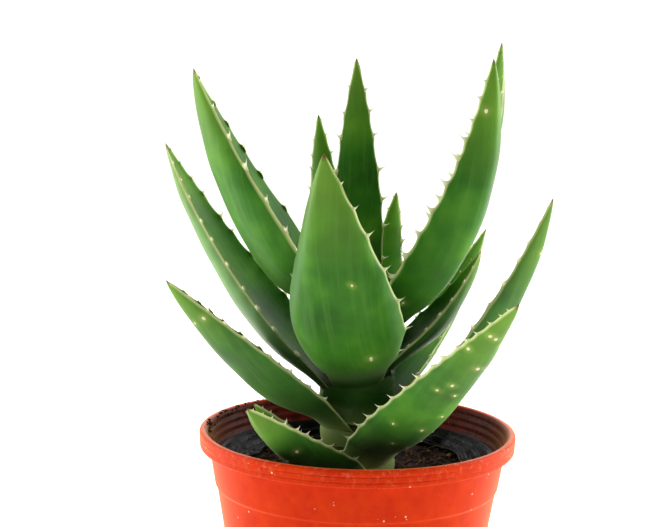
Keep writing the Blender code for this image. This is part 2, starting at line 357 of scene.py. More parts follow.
top, under, inner_u, outer_u, run = leaf_surface("leaf_10", 0.0)
print("leaf_10 grid", top.shape, under.shape, "length, mm:", round(1000 * run[-1], 1))

# %% [markdown]
# ## Teeth and warts
# An aloe's margin is a thin horny line that swells out at every tooth. The teeth are hard, cream
# to yellow-green at the foot, and lean towards the leaf's tip. They could be painted on, but they
# stand 2 to 5 mm proud and catch the light, so each one is a small flattened horn, sunk a little
# into the margin. Some leaves also have pale raised warts with a light green ring round them.


# %% Horns for the margins
def put(skin, points, faces, **marks):
    """Adds a patch of skin, with what the finish needs to know at every point."""
    first = sum(len(patch) for patch in skin["points"])
    skin["points"].append(np.asarray(points))
    skin["faces"] += [tuple(first + corner for corner in face) for face in faces]
    for mark in MARKS:
        value = np.broadcast_to(np.asarray(marks.get(mark, 0.0), dtype=float), (len(points),))
        skin[mark].append(value)


def rings_to_faces(rows, count):
    """Quads between closed rings of points that follow each other."""
    faces = []
    for row in range(rows - 1):
        for i in range(count):
            j = (i + 1) % count
            low, high = row * count, (row + 1) * count
            faces.append((low + i, low + j, high + j, high + i))
    return faces


# what each point of a leaf knows: share and distance along it, place across it in mm, whether it
# is on the outer face, distance from the margin in mm, and how much it is tooth, wart or ring
MARKS = ("share", "rise_mm", "across_mm", "outer", "edge_mm", "tooth", "wart", "ring", "wax_bloom_and_sheen")
TOOTH_SIDES = 8
TOOTH_LEVELS = 7


def horn(skin, foot, outward, forward, length, width, share, rise):
    """One flattened tooth, wide where it leaves the margin and bent towards the leaf's tip."""
    flat = np.cross(outward, forward)
    turn = np.linspace(0, math.tau, TOOTH_SIDES, endpoint=False)
    points, levels = [], []
    for level in range(TOOTH_LEVELS):
        t = level / TOOTH_LEVELS
        middle = foot + outward * length * (1.2 * t - 0.2) + forward * length * 0.42 * t**2
        half = width / 2 * (0.26 * (1 - t) + 0.74 * (1 - t) ** 4)
        thick = max(half * 0.42, 0.00022 * (1 - t))
        points += [middle + forward * half * math.cos(a) + flat * thick * math.sin(a) for a in turn]
        levels += [t] * TOOTH_SIDES
    points.append(foot + outward * length + forward * length * 0.42)
    levels.append(1.0)
    faces = rings_to_faces(TOOTH_LEVELS, TOOTH_SIDES)
    last = (TOOTH_LEVELS - 1) * TOOTH_SIDES
    point = TOOTH_LEVELS * TOOTH_SIDES
    faces += [(last + i, last + (i + 1) % TOOTH_SIDES, point) for i in range(TOOTH_SIDES)]
    put(skin, points, faces, tooth=0.12 + 0.88 * np.array(levels), share=share, rise_mm=rise)


def wart(skin, middle, normal, forward, size, share):
    """A low dome, a little longer than wide."""
    side = np.cross(normal, forward)
    points = []
    for lift, spread in ((-0.25, 1.0), (0.15, 0.86), (0.42, 0.50)):
        for a in np.linspace(0, math.tau, TOOTH_SIDES, endpoint=False):
            flat = forward * 1.35 * math.cos(a) + side * math.sin(a)
            points.append(middle + size * (flat * spread + normal * lift))
    points.append(middle + size * 0.52 * normal)
    faces = rings_to_faces(3, TOOTH_SIDES)
    last, point = 2 * TOOTH_SIDES, 3 * TOOTH_SIDES
    faces += [(last + i, last + (i + 1) % TOOTH_SIDES, point) for i in range(TOOTH_SIDES)]
    put(skin, points, faces, wart=1.0, share=share, outer=1.0, edge_mm=9.0)


# %% [markdown]
# ## Growing the leaves
# Every leaf has its own character: the lower and outer leaves have closer and shorter teeth, the
# front leaf has a keel left of its middle, and the low right leaf has most warts. The table holds
# those traits in plain millimetres. Every leaf's foot clasps the stem with a short sheath, as an
# aloe's does, and an older leaf's sheath lies outside a younger one's. What a real leaf leaves to
# chance, such as the exact spot of a tooth, comes from a seeded random generator, so the plant is
# the same every time.

# %% Each leaf's traits
MM = 0.001
# name: (gap between teeth, tooth length, both in mm, warts, keel place across, wax bloom 0 to 1;
# on leaf_09 the bloom is also a painted sheen on the outer face)
TRAITS = {
    "leaf_01": (7.0, 2.8, 3, 0.0, 0.04),
    "leaf_02": (6.5, 2.6, 0, 0.0, 0.02),
    "leaf_03": (10.0, 3.4, 18, 0.1, 0.04),
    "leaf_05": (11.0, 3.4, 4, 0.0, 0.12),
    "leaf_06": (10.0, 3.4, 5, 0.0, 0.10),
    "leaf_09": (11.5, 3.6, 0, 0.0, 0.35),
    "leaf_10": (14.0, 3.6, 3, -0.30, 0.02),
    "leaf_11": (9.0, 2.8, 2, 0.0, 0.20),
    "leaf_14": (10.0, 4.0, 4, 0.0, 0.04),
    "leaf_15": (11.0, 4.0, 2, 0.0, 0.02),
    "leaf_16": (15.5, 4.6, 0, 0.0, 0.02),
    "leaf_17": (13.0, 3.4, 0, 0.1, 0.02),
    "leaf_18": (6.0, 2.0, 0, 0.0, 0.02),
}
ORDINARY = (10.0, 3.2, 2, 0.0, 0.05)
SWELLING = 0.7 * MM
SWELLING_REACH = 2.6 * MM
TEETH_START = 16 * MM

# %% Sheaths round the stem
# how far a sheath hangs below its leaf, in mm
SHEATH_DROP = 6.0
LONG_AND_SHORT_DROPS = {"leaf_01": 3.0, "leaf_05": 8.0, "leaf_09": 8.0, "leaf_10": 13.0}
SHEATH_REACH = math.radians(100)
SHEATH_TURNS = 33
SHEATH_ROWS = 9
stem_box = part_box("stem")
stem_radius = stem_box[1].x


def clasp(skin, name, foot):
    """A sheath under the leaf's foot, longest in the middle, with a wavy lower edge."""
    younger = len(leaf_names) - int(name[-2:])
    out = stem_radius + (0.3 + 0.10 * younger) * MM
    drop = LONG_AND_SHORT_DROPS.get(name, SHEATH_DROP)
    points = []
    for share in np.linspace(0.0, 1.0, SHEATH_ROWS):
        for turn in np.linspace(-SHEATH_REACH, SHEATH_REACH, SHEATH_TURNS):
            angle = math.atan2(foot[1], foot[0]) + turn
            hang = drop * (0.35 + 0.65 * math.cos(turn * 0.8)) + 0.6 * math.sin(5 * turn + 0.72)
            top_edge = foot[2] + 3.0 * MM * math.cos(turn * 0.9)
            swell = out + 0.5 * MM * math.sin(math.pi * share)
            height = top_edge - (hang + 2.0) * MM * share
            points.append((swell * math.cos(angle), swell * math.sin(angle), height))
    faces = [
        (low + i, low + i + 1, low + SHEATH_TURNS + i + 1, low + SHEATH_TURNS + i)
        for low in range(0, (SHEATH_ROWS - 1) * SHEATH_TURNS, SHEATH_TURNS)
        for i in range(SHEATH_TURNS - 1)
    ]
    to_edge = np.repeat(np.linspace(4.0, 0.3, SHEATH_ROWS), SHEATH_TURNS)
    # a rise of 9 mm gives the sheath the dark painted shade of a leaf's foot, and a pale lower edge
    put(skin, points, faces, outer=1.0, edge_mm=to_edge, rise_mm=9.0)


print("stem radius, mm:", round(1000 * stem_radius, 1))


# %% One leaf with its teeth, warts and sheath
def grow_leaf(name, finish):
    """Makes a leaf's whole skin and attaches it; returns how many teeth and faces it has."""
    gap, tooth_length, wart_count, keel, wax_bloom_and_sheen = TRAITS.get(name, ORDINARY)
    chance = np.random.default_rng(int(name[-2:]))
    top, under, inner_u, outer_u, run = leaf_surface(name, keel)
    length = run[-1]
    skin = {"points": [], "faces": [], **{mark: [] for mark in MARKS}}
    half_width = np.linalg.norm(top[:, -1] - top[:, 0], axis=1) / 2

    teeth = []
    for side, column in ((-1, 0), (1, -1)):
        line = top[:, column]
        outward = unit(line - top[:, 3 if side < 0 else -4])
        forward = unit(np.gradient(line, axis=0))
        outward = unit(outward - forward * np.sum(outward * forward, axis=1, keepdims=True))
        place = TEETH_START + gap / 1000 * chance.uniform(0.0, 0.5)
        swell = np.zeros(len(run))
        while place < length * 0.975:
            row = int(np.searchsorted(run, place))
            near = 1 - place / length
            size = tooth_length / 1000 * chance.uniform(0.8, 1.1) * min(1.0, 0.30 + 2.2 * near)
            teeth.append((line[row], outward[row], forward[row], size, side, row))
            swell += np.exp(-(((run - place) / SWELLING_REACH) ** 2)) * min(1.0, 0.25 + 3 * near)
            place += gap / 1000 * chance.uniform(0.82, 1.18) * (0.55 + 0.45 * min(1.0, 2.2 * near))
        shift = outward * (swell * SWELLING)[:, None]
        for grid, across in ((top, inner_u), (under, outer_u)):
            reach = np.clip((side * across - 0.7) / 0.3, 0, 1) ** 2
            grid += shift[:, None, :] * reach[None, :, None]

    for grid, amount in ((top, -1.0), (under, 1.0)):
        along = np.gradient(grid, axis=0)
        over = np.gradient(grid, axis=1)
        normal = unit(np.cross(along, over))
        lumps = np.array([[noise.noise(Vector(point) * 55.0) for point in line] for line in grid])
        fade = np.clip(np.minimum(run, length - run) / 0.010, 0, 1)[:, None]
        grid += normal * (lumps * fade * 0.00045)[..., None]

    ring = np.zeros(under.shape[:2])
    along = unit(np.gradient(under, axis=0))
    normal = unit(np.cross(np.gradient(under, axis=1), along))
    outward_sign = np.sign(np.sum(normal[:, 12] * (under[:, 12] - top[:, 11]), axis=1).sum())
    for _ in range(wart_count):
        row = int(len(run) * chance.uniform(0.18, 0.86))
        column = int(chance.uniform(0.16, 0.84) * len(outer_u))
        size = chance.uniform(0.00045, 0.00080)
        middle = under[row, column]
        up = normal[row, column] * outward_sign
        wart(skin, middle, up, along[row, column], size, run[row] / length)
        away = np.linalg.norm(under - middle, axis=2)
        ring = np.maximum(ring, np.exp(-((away / (2.6 * size)) ** 2)))

    points = np.concatenate([top, under], axis=1)[:-1]
    rows, count = points.shape[:2]
    across = np.concatenate([inner_u, outer_u])
    on_outer = np.concatenate([np.zeros(len(inner_u)), np.ones(len(outer_u))])
    rings = np.concatenate([np.zeros_like(top[..., 0]), ring], axis=1)[:-1]
    widths = half_width[:-1, None]
    flat = {
        "share": np.repeat(run[:-1] / length, count),
        "rise_mm": np.repeat(run[:-1] * 1000, count),
        "across_mm": (widths * across * 1000).ravel(),
        "edge_mm": (widths * (1 - np.abs(across)) * 1000).ravel(),
        "outer": np.tile(on_outer, rows),
        "ring": rings.ravel(),
    }
    tip_mark = {"share": 1.0, "rise_mm": length * 1000, "across_mm": 0, "edge_mm": 0, "outer": 1, "ring": 0}
    marks = {mark: np.append(values, tip_mark[mark]) for mark, values in flat.items()}
    faces = rings_to_faces(rows, count)
    last, point = (rows - 1) * count, rows * count
    faces += [(last + i, last + (i + 1) % count, point) for i in range(count)]
    faces.append(tuple(reversed(range(count))))
    put(skin, np.vstack([points.reshape(-1, 3), top[-1, :1]]), faces, **marks)
    for foot, outward, forward, size, side, row in teeth:
        horn(skin, foot, outward, forward, size, size * 1.05, run[row] / length, run[row] * 1000)

    clasp(skin, name, (top[0].mean(0) + under[0].mean(0)) / 2)

    mesh = bpy.data.meshes.new(name + "_skin")
    mesh.from_pydata(np.vstack(skin["points"]).tolist(), [], skin["faces"])
    skin["wax_bloom_and_sheen"] = [np.full(len(mesh.vertices), wax_bloom_and_sheen)]
    for mark in MARKS:
        values = np.concatenate(skin[mark]).astype(np.float32)
        mesh.attributes.new(mark, "FLOAT", "POINT").data.foreach_set("value", values)
    mesh.materials.append(finish)
    mesh.shade_smooth()
    shape = bmesh.new()
    shape.from_mesh(mesh)
    bmesh.ops.recalc_face_normals(shape, faces=shape.faces)
    shape.to_mesh(mesh)
    shape.free()
    attach(placed(name + "_skin", mesh), "leaf_skin", name)
    return len(teeth), len(mesh.polygons)


# %% [markdown]
# ## Aloe skin
# An aloe's skin is a living cuticle: a thin clear wax over deep green flesh. It is satin, not
# glossy, and shows faint lengthwise streaks a millimetre or two wide, pale margins, yellow-green
# tips that dry to brown, and pale feet on the lowest leaves. The feet higher up and the sheaths are
# painted dark green as painted shade, and a pale wax bloom on the outer face is, on one leaf, also
# a painted sheen. Grown, not made, so nothing in it repeats. Its colour comes in thin layers, each
# held to its own place by a mark on the mesh.

# %% Aloe skin: waxed cuticle over green flesh
skin_material, tree, shader = new_material(
    "aloe_cuticle",
    IOR=1.44,
    Subsurface_Weight=0.12,
    Subsurface_Radius=(0.4, 1.0, 0.15),
    Subsurface_Scale=2.0 * MM,
    Specular_IOR_Level=0.14,
    Sheen_Weight=0.22,
    Sheen_Roughness=0.40,
    Sheen_Tint=linear("#DCEFB0"),
)
mark = {
    name: node(tree, "ShaderNodeAttribute", attribute_name=name).outputs["Fac"] for name in MARKS
}
place = node(tree, "ShaderNodeTexCoord").outputs["Object"]
lengthwise = node(tree, "ShaderNodeCombineXYZ", {"X": mark["across_mm"], "Z": mark["outer"]})
stretched = node(
    tree, "ShaderNodeMath", {0: mark["rise_mm"], 1: 0.035}, operation="MULTIPLY"
).outputs[0]
tree.links.new(stretched, lengthwise.inputs["Y"])
# streaks 1 to 2 mm wide and about 30 mm long
streaks = node(
    tree,
    "ShaderNodeTexNoise",
    {"Vector": lengthwise.outputs[0], "Scale": 0.75, "Detail": 3.0, "Roughness": 0.6},
).outputs["Fac"]
# cloudy patches about 20 mm across
clouds = node(
    tree, "ShaderNodeTexNoise", {"Vector": place, "Scale": 48.0, "Detail": 3.0}
).outputs["Fac"]
# cells of the skin about 0.6 mm across, coarser than real ones so that they show
cells = node(
    tree, "ShaderNodeTexNoise", {"Vector": place, "Scale": 1500.0, "Detail": 2.0}
).outputs["Fac"]

flesh = node(
    tree,
    "ShaderNodeValToRGB",
    {"Fac": clouds},
    stops=[(0.30, linear("#22580C")), (0.52, linear("#357414")), (0.74, linear("#55921F"))],
).outputs["Color"]
streaky = node(
    tree,
    "ShaderNodeMapRange",
    {"Value": streaks, "From Min": 0.50, "From Max": 0.80, "To Max": 0.22},
).outputs[0]
young = node(
    tree, "ShaderNodeMapRange", {"Value": mark["share"], "From Min": 0.62, "To Max": 0.55}
).outputs[0]
foot = node(
    tree,
    "ShaderNodeMapRange",
    {"Value": mark["rise_mm"], "From Min": 16.0, "From Max": 3.0, "To Max": 0.75},
).outputs[0]
height = node(tree, "ShaderNodeSeparateXYZ", {0: place}).outputs[2]
low_down = node(
    tree, "ShaderNodeMapRange", {"Value": height, "From Min": 0.129, "From Max": 0.117}
).outputs[0]
sheath = node(tree, "ShaderNodeMath", {0: foot, 1: low_down}, operation="MULTIPLY").outputs[0]
# painted shade: the feet higher up lie in the shade of the leaves round them, so they are painted darkest
# green
painted_foot_shade = node(
    tree,
    "ShaderNodeMapRange",
    {"Value": mark["rise_mm"], "From Min": 34.0, "From Max": 6.0, "To Max": 0.80},
).outputs[0]
ringed = node(tree, "ShaderNodeMath", {0: mark["ring"], 1: 0.55}, operation="MULTIPLY").outputs[0]
line = node(
    tree,
    "ShaderNodeMapRange",
    {"Value": mark["edge_mm"], "From Min": 0.55, "From Max": 0.10, "To Max": 0.80},
).outputs[0]
brown = node(
    tree, "ShaderNodeMapRange", {"Value": mark["share"], "From Min": 0.975, "From Max": 0.992}
).outputs[0]
# pale wax bloom on the outer face; on leaf_09 it is strongest and is also a painted sheen
painted_bloom_and_sheen = node(
    tree, "ShaderNodeMath", {0: mark["wax_bloom_and_sheen"], 1: mark["outer"]}, operation="MULTIPLY"
).outputs[0]
horn_foot = node(
    tree, "ShaderNodeMapRange", {"Value": mark["tooth"], "From Min": 0.02, "From Max": 0.12}
).outputs[0]
horn_white = node(
    tree, "ShaderNodeMapRange", {"Value": mark["tooth"], "From Min": 0.15, "From Max": 0.50}
).outputs[0]
colour = flesh
layers = [
    (streaky, linear("#7DAE4C")),
    (painted_bloom_and_sheen, linear("#9DB98A")),
    # painted shade on the leaves' feet
    (painted_foot_shade, linear("#173308")),
    (young, linear("#86AE3C")),
    (sheath, linear("#B9C27A")),
    (ringed, linear("#A9C455")),
    (line, linear("#D9DB9A")),
    (mark["wart"], linear("#EEEBC0")),
    (horn_foot, linear("#C6D27E")),
    (horn_white, linear("#F3EFD2")),
    (brown, linear("#6B4A22")),
]
for amount, paint in layers:
    mixed = {0: amount, 6: colour, 7: paint}
    colour = node(tree, "ShaderNodeMix", mixed, data_type="RGBA").outputs[2]
tree.links.new(colour, shader.inputs["Base Color"])
rough = node(
    tree,
    "ShaderNodeMapRange",
    {"Value": clouds, "From Min": 0.3, "From Max": 0.7, "To Min": 0.36, "To Max": 0.50},
).outputs[0]
tree.links.new(rough, shader.inputs["Roughness"])
relief = node(tree, "ShaderNodeMath", {0: streaks, 1: cells}, operation="ADD").outputs[0]
bump = node(tree, "ShaderNodeBump", {"Height": relief, "Strength": 0.35, "Distance": 0.10 * MM})
tree.links.new(bump.outputs[0], shader.inputs["Normal"])

tooth_total = face_total = 0
for name in leaf_names:
    teeth_made, faces_made = grow_leaf(name, skin_material)
    tooth_total += teeth_made
    face_total += faces_made
print(len(leaf_names), "leaves with", tooth_total, "teeth and", face_total, "faces")

# %% [markdown]
# ## Turned pieces
# The pot, its black inner pot and the soil are all round. A lathe makes the pot and the soil: one
# outline, spun about the upright axis. The outline is read from the imported model, along one
# radial cut, and made finer. Corners of a real moulding are never sharp, and the small radius on
# them catches a thin line of light, so every corner of the pot is rounded. A bevel modifier would
# do that too, but it would also act on the fine grooves.


# %% Outlines and the lathe
CUT_TURN = math.radians(28.125)


def read_outline(name):
    """A turned node's outline as (radius, height) points, from its lowest point on the axis."""
    shape = bmesh.new()
    shape.from_mesh(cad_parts[name].data)
    bmesh.ops.remove_doubles(shape, verts=shape.verts, dist=1e-6)
    on_cut = []
    for vert in shape.verts:
        radius = math.hypot(vert.co.x, vert.co.y)
        if radius < 1e-4 or abs(math.atan2(vert.co.y, vert.co.x) - CUT_TURN) < 1e-3:
            on_cut.append(vert)
    path = [min(on_cut, key=lambda vert: (round(vert.co.z, 5), math.hypot(vert.co.x, vert.co.y)))]
    while True:
        steps = {edge.other_vert(path[-1]) for edge in path[-1].link_edges}
        steps = [vert for vert in steps if vert in on_cut and vert not in path]
        if not steps:
            break
        path.append(min(steps, key=lambda vert: (vert.co - path[-1].co).length))
    outline = [(math.hypot(vert.co.x, vert.co.y), vert.co.z) for vert in path]
    shape.free()
    start, end = outline[0], outline[-1]
    if start[0] > 1e-4:
        outline.insert(0, (0.0, start[1]))
    if end[0] > 1e-4:
        outline.append((0.0, end[1]))
    return np.array(outline)


def rounded(outline, radius, steps=4):
    """The same outline with every corner rounded off."""
    made = [outline[0]]
    for before, corner, after in zip(outline, outline[1:], outline[2:]):
        back, on = before - corner, after - corner
        start = corner + back * min(0.45, radius / np.linalg.norm(back))
        end = corner + on * min(0.45, radius / np.linalg.norm(on))
        for t in np.linspace(0, 1, steps + 1):
            made.append((1 - t) ** 2 * start + 2 * t * (1 - t) * corner + t**2 * end)
    return np.array(made + [outline[-1]])


def finer(outline, step):
    """The same outline with long runs split into short ones."""
    made = [outline[0]]
    for before, after in zip(outline, outline[1:]):
        parts = max(1, math.ceil(np.linalg.norm(after - before) / step))
        made += [before + (after - before) * part / parts for part in range(1, parts + 1)]
    return np.array(made)


def spun(name, outline, steps, finish, lift=None):
    """Spins an outline that starts and ends on the axis; lift moves each point first."""
    points = []
    body = outline[1:-1]
    for radius, height in body:
        for turn in np.linspace(0, math.tau, steps, endpoint=False):
            point = Vector((radius * math.cos(turn), radius * math.sin(turn), height))
            points.append(lift(point) if lift else point)
    count = len(points)
    points += [Vector((0, 0, outline[0][1])), Vector((0, 0, outline[-1][1]))]
    faces = rings_to_faces(len(body), steps)
    last = count - steps
    faces += [(count, (i + 1) % steps, i) for i in range(steps)]
    faces += [(count + 1, last + i, last + (i + 1) % steps) for i in range(steps)]
    mesh = bpy.data.meshes.new(name)
    mesh.from_pydata(points, [], faces)
    mesh.shade_smooth()
    mesh.materials.append(finish)
    return placed(name, mesh)


pot_outline = read_outline("pot")
print("pot outline of", len(pot_outline), "points, widest, mm:", round(1000 * pot_outline[:, 0].max(), 1))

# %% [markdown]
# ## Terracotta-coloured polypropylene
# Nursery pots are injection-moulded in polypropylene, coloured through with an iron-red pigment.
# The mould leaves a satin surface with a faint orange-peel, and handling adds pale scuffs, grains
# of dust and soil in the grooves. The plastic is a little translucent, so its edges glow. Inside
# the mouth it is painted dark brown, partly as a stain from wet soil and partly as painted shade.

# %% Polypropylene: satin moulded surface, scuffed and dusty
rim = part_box("pot")[1]
mouth_radius = sorted(pot_outline[pot_outline[:, 1] > rim.z - 1e-4][:, 0])[0]
polypropylene, tree, shader = new_material(
    "polypropylene_terracotta",
    IOR=1.49,
    Specular_IOR_Level=0.06,
    Sheen_Weight=0.85,
    Sheen_Roughness=0.32,
    Sheen_Tint=linear("#FFAE5C"),
    Subsurface_Weight=0.10,
    Subsurface_Radius=(1.0, 0.25, 0.1),
    Subsurface_Scale=2.5 * MM,
)
place = node(tree, "ShaderNodeTexCoord").outputs["Object"]
apart = node(tree, "ShaderNodeSeparateXYZ", {0: place})
inside = node(tree, "ShaderNodeAttribute", attribute_name="inside").outputs["Fac"]
# handling marks about 8 mm across
cloudy = node(
    tree, "ShaderNodeTexNoise", {"Vector": place, "Scale": 120.0, "Detail": 6.0, "Roughness": 0.7}
).outputs["Fac"]
pigment = node(
    tree,
    "ShaderNodeValToRGB",
    {"Fac": cloudy},
    stops=[(0.35, linear("#CC2C05")), (0.65, linear("#DA3A08"))],
).outputs["Color"]
# grains of dust 0.3 to 0.6 mm across, about one to every 4 mm of surface
grains = node(tree, "ShaderNodeTexVoronoi", {"Vector": place, "Scale": 260.0, "Randomness": 1.0})
grain = node(
    tree,
    "ShaderNodeMapRange",
    {"Value": grains.outputs["Distance"], "From Min": 0.13, "From Max": 0.07},
).outputs[0]
rare = node(
    tree, "ShaderNodeTexNoise", {"Vector": place, "Scale": 190.0, "Detail": 2.0}
).outputs["Fac"]
rare_grain = node(
    tree, "ShaderNodeMapRange", {"Value": rare, "From Min": 0.54, "From Max": 0.62}
).outputs[0]
dusty = node(tree, "ShaderNodeMath", {0: grain, 1: rare_grain}, operation="MULTIPLY").outputs[0]
lip_dust = node(
    tree,
    "ShaderNodeMapRange",
    {"Value": apart.outputs[2], "From Min": rim.z - 9 * MM, "From Max": rim.z},
).outputs[0]
scuffs = node(
    tree, "ShaderNodeTexNoise", {"Vector": place, "Scale": 420.0, "Detail": 4.0, "Roughness": 0.75}
).outputs["Fac"]
scuffed = node(
    tree, "ShaderNodeMapRange", {"Value": scuffs, "From Min": 0.52, "From Max": 0.78, "To Max": 0.5}
).outputs[0]
lip_scuffs = node(
    tree, "ShaderNodeMath", {0: scuffed, 1: lip_dust}, operation="MULTIPLY"
).outputs[0]
# inside the mouth: dark brown, partly a soil stain and partly painted shade
soil_stain_and_painted_shade = node(tree, "ShaderNodeMath", {0: inside, 1: 0.88}, operation="MULTIPLY").outputs[0]
crumbly = node(
    tree, "ShaderNodeMapRange", {"Value": scuffs, "From Min": 0.50, "From Max": 0.62}
).outputs[0]
soiled = node(tree, "ShaderNodeMath", {0: crumbly, 1: inside}, operation="MULTIPLY").outputs[0]
colour = pigment
layers = [
    (lip_scuffs, linear("#F0A076")),
    (dusty, linear("#F7CDB0")),
    (soil_stain_and_painted_shade, linear("#2E0F0A")),
    (soiled, linear("#1C0E0A")),
]
for amount, paint in layers:
    mixed = {0: amount, 6: colour, 7: paint}
    colour = node(tree, "ShaderNodeMix", mixed, data_type="RGBA").outputs[2]
tree.links.new(colour, shader.inputs["Base Color"])
satin = node(
    tree, "ShaderNodeMapRange", {"Value": cloudy, "To Min": 0.30, "To Max": 0.46}
).outputs[0]
tree.links.new(satin, shader.inputs["Roughness"])
peel = node(
    tree, "ShaderNodeTexNoise", {"Vector": place, "Scale": 900.0, "Detail": 1.0}
).outputs["Fac"]
bump = node(tree, "ShaderNodeBump", {"Height": peel, "Strength": 0.12, "Distance": 0.08 * MM})
raised = {"Height": dusty, "Strength": 0.5, "Distance": 0.2 * MM, "Normal": bump.outputs[0]}
dust_bump = node(tree, "ShaderNodeBump", raised)
tree.links.new(dust_bump.outputs[0], shader.inputs["Normal"])
print("stained inside a mouth radius of, mm:", round(1000 * mouth_radius, 1))

# %% [markdown]
# ## Pot
# The lip is a rolled band with two fine grooves round it. Six drain holes go through the floor,
# and they are drilled, as in the mould, so that the pot is right from below too.

# %% Pot with a grooved lip
LATHE_STEPS = 192
GROOVE_DEPTH = 0.22 * MM
GROOVE_WIDTH = 0.30 * MM
GROOVES_BELOW_RIM = (2.6 * MM, 4.9 * MM)
fine = finer(rounded(pot_outline, 0.7 * MM), 5 * MM)
lip_face = (fine[:, 0] > rim.x - 0.8 * MM) & (fine[:, 1] > rim.z - 8 * MM)
lip_rows = np.flatnonzero(lip_face)
lip = finer(fine[lip_rows[0] : lip_rows[-1] + 1], 0.12 * MM)
for groove in GROOVES_BELOW_RIM:
    lip[:, 0] -= GROOVE_DEPTH * np.exp(-(((lip[:, 1] - (rim.z - groove)) / GROOVE_WIDTH) ** 2))
fine = np.vstack([fine[: lip_rows[0]], lip, fine[lip_rows[-1] + 1 :]])


def handled(point):
    """A thin moulding is never quite round: its rim is out by a few tenths of a millimetre."""
    turn = math.atan2(point.y, point.x)
    share = (point.z / rim.z) ** 2
    wobble = 1 + share * (0.0035 * math.sin(2 * turn + 0.6) + 0.0012 * math.sin(5 * turn))
    return Vector((point.x * wobble, point.y * wobble, point.z))


# the inside mark starts 1.5 mm in from the rim's top; the finish paints it dark brown as soil stain and
# painted shade
top_row = int(np.flatnonzero(fine[:, 1] > rim.z - 1e-5)[-1])
run_in = np.append(0.0, np.cumsum(np.linalg.norm(np.diff(fine, axis=0), axis=1)))
inside = np.clip((run_in - run_in[top_row]) / (1.5 * MM), 0, 1)[1:-1]
pot = attach(spun("moulded_pot", fine, LATHE_STEPS, polypropylene, handled), "pot_plastic", "pot")
inside = np.append(np.repeat(inside, LATHE_STEPS), [0.0, 1.0]).astype(np.float32)
pot.data.attributes.new("inside", "FLOAT", "POINT").data.foreach_set("value", inside)
print("pot of", len(pot.data.polygons), "faces")

# %% Drain holes through the floor
DRAIN_COUNT = 6
DRAIN_RADIUS = 4.0 * MM
# the first hole lies along +X, so its two edges there give the ring's radius
low_corners = [vert.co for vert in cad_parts["pot"].data.vertices if vert.co.z < 5 * MM]
in_line = [corner.x for corner in low_corners if abs(corner.y) < 0.1 * MM]
hole_edge = [x for x in in_line if 0.3 * rim.x < x < 0.75 * rim.x]
drain_ring = (min(hole_edge) + max(hole_edge)) / 2
drills = bpy.data.meshes.new("drills")
shape = bmesh.new()
for index in range(DRAIN_COUNT):
    turn = math.tau * index / DRAIN_COUNT
    where = Matrix.Translation((drain_ring * math.cos(turn), drain_ring * math.sin(turn), 0.0))
    bmesh.ops.create_cone(
        shape,
        cap_ends=True,
        segments=40,
        radius1=DRAIN_RADIUS,
        radius2=DRAIN_RADIUS,
        depth=24 * MM,
        matrix=where,
    )
shape.to_mesh(drills)
shape.free()
drill_set = placed("drills", drills)
drilling = pot.modifiers.new("drain_holes", "BOOLEAN")
drilling.object = drill_set
drilling.solver = "MANIFOLD"
drilled = bpy.data.meshes.new_from_object(pot.evaluated_get(bpy.context.evaluated_depsgraph_get()))
pot.modifiers.clear()
pot.data = drilled
bpy.data.objects.remove(drill_set)
print("drilled pot of", len(drilled.polygons), "faces, hole ring, mm:", round(1000 * drain_ring, 1))

# %% [markdown]
# ## Black film and peat
# Inside the pot is a thin black inner pot of polythene, as a nursery grows seedlings in. It is
# blow-moulded film, so it is glossy and never lies flat: above the soil it folds inwards in ribs
# that catch small glints. The potting soil is peat with bark fibre, dark, damp and matt. Light
# hardly leaves either of them, so the mouth of the pot looks almost black.

# %% Polythene film: glossy, black and wrinkled
polythene, tree, shader = new_material(
    "polythene_film_black", IOR=1.51, Roughness=0.26, Specular_IOR_Level=0.05
)
place = node(tree, "ShaderNodeTexCoord").outputs["Object"]
smears = node(
    tree, "ShaderNodeTexNoise", {"Vector": place, "Scale": 160.0, "Detail": 5.0, "Roughness": 0.7}
).outputs["Fac"]
dull = node(
    tree,
    "ShaderNodeValToRGB",
    {"Fac": smears},
    stops=[(0.45, linear("#020202")), (0.62, linear("#070707")), (0.80, linear("#1B1613"))],
)
tree.links.new(dull.outputs["Color"], shader.inputs["Base Color"])
worn = node(
    tree, "ShaderNodeMapRange", {"Value": smears, "To Min": 0.16, "To Max": 0.42}
).outputs[0]
tree.links.new(worn, shader.inputs["Roughness"])
# creases 3 mm apart
creases = node(
    tree, "ShaderNodeTexNoise", {"Vector": place, "Scale": 330.0, "Detail": 3.0, "Distortion": 1.2}
).outputs["Fac"]
bump = node(tree, "ShaderNodeBump", {"Height": creases, "Strength": 0.45, "Distance": 0.5 * MM})
tree.links.new(bump.outputs[0], shader.inputs["Normal"])
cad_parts["inner_pot"].data.materials.clear()
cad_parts["inner_pot"].data.materials.append(polythene)

# %% Peat: matt, fibrous and damp
peat, tree, shader = new_material("peat_and_bark", IOR=1.40, Roughness=0.92, Specular_IOR_Level=0.25)
tone = node(tree, "ShaderNodeAttribute", attribute_name="tone").outputs["Fac"]
place = node(tree, "ShaderNodeTexCoord").outputs["Object"]
# crumbs 1 to 2 mm across
crumbs = node(
    tree, "ShaderNodeTexNoise", {"Vector": place, "Scale": 700.0, "Detail": 6.0, "Roughness": 0.7}
).outputs["Fac"]
mixed = node(tree, "ShaderNodeMath", {0: crumbs, 1: tone}, operation="ADD").outputs[0]
brown = node(
    tree,
    "ShaderNodeValToRGB",
    {"Fac": mixed},
    stops=[
        (0.30, linear("#120B08")),
        (0.55, linear("#2E1B12")),
        (0.80, linear("#4F3222")),
        (1.00, linear("#8A6A45")),
    ],
)
tree.links.new(brown.outputs["Color"], shader.inputs["Base Color"])
bump = node(tree, "ShaderNodeBump", {"Height": crumbs, "Strength": 0.8, "Distance": 0.6 * MM})
tree.links.new(bump.outputs[0], shader.inputs["Normal"])

